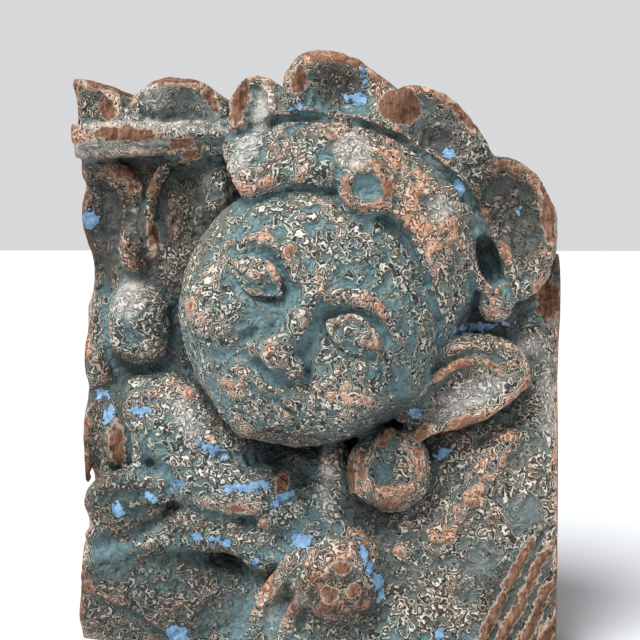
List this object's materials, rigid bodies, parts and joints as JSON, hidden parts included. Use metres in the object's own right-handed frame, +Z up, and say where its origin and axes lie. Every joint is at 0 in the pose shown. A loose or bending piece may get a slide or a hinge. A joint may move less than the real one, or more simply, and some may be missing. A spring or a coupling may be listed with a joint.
{
  "type": "carved wooden relief panel",
  "caption": "Carved wooden wall relief of a crowned head in high relief under a scalloped border, in layered worn paint.",
  "frame": {"origin": "centre of the flat back face, which lies against the wall", "axes": "+X to the right as seen from the front, +Y from the front towards the wall, +Z up"},
  "size_m": [0.251, 0.1025, 0.3085],
  "materials": {
    "painted_wood": "layered teal, mint, cream and dark paint, worn and cut through to red-brown wood"
  },
  "bodies": {
    "root": {"relief_panel": "painted_wood"}
  },
  "joints": []
}
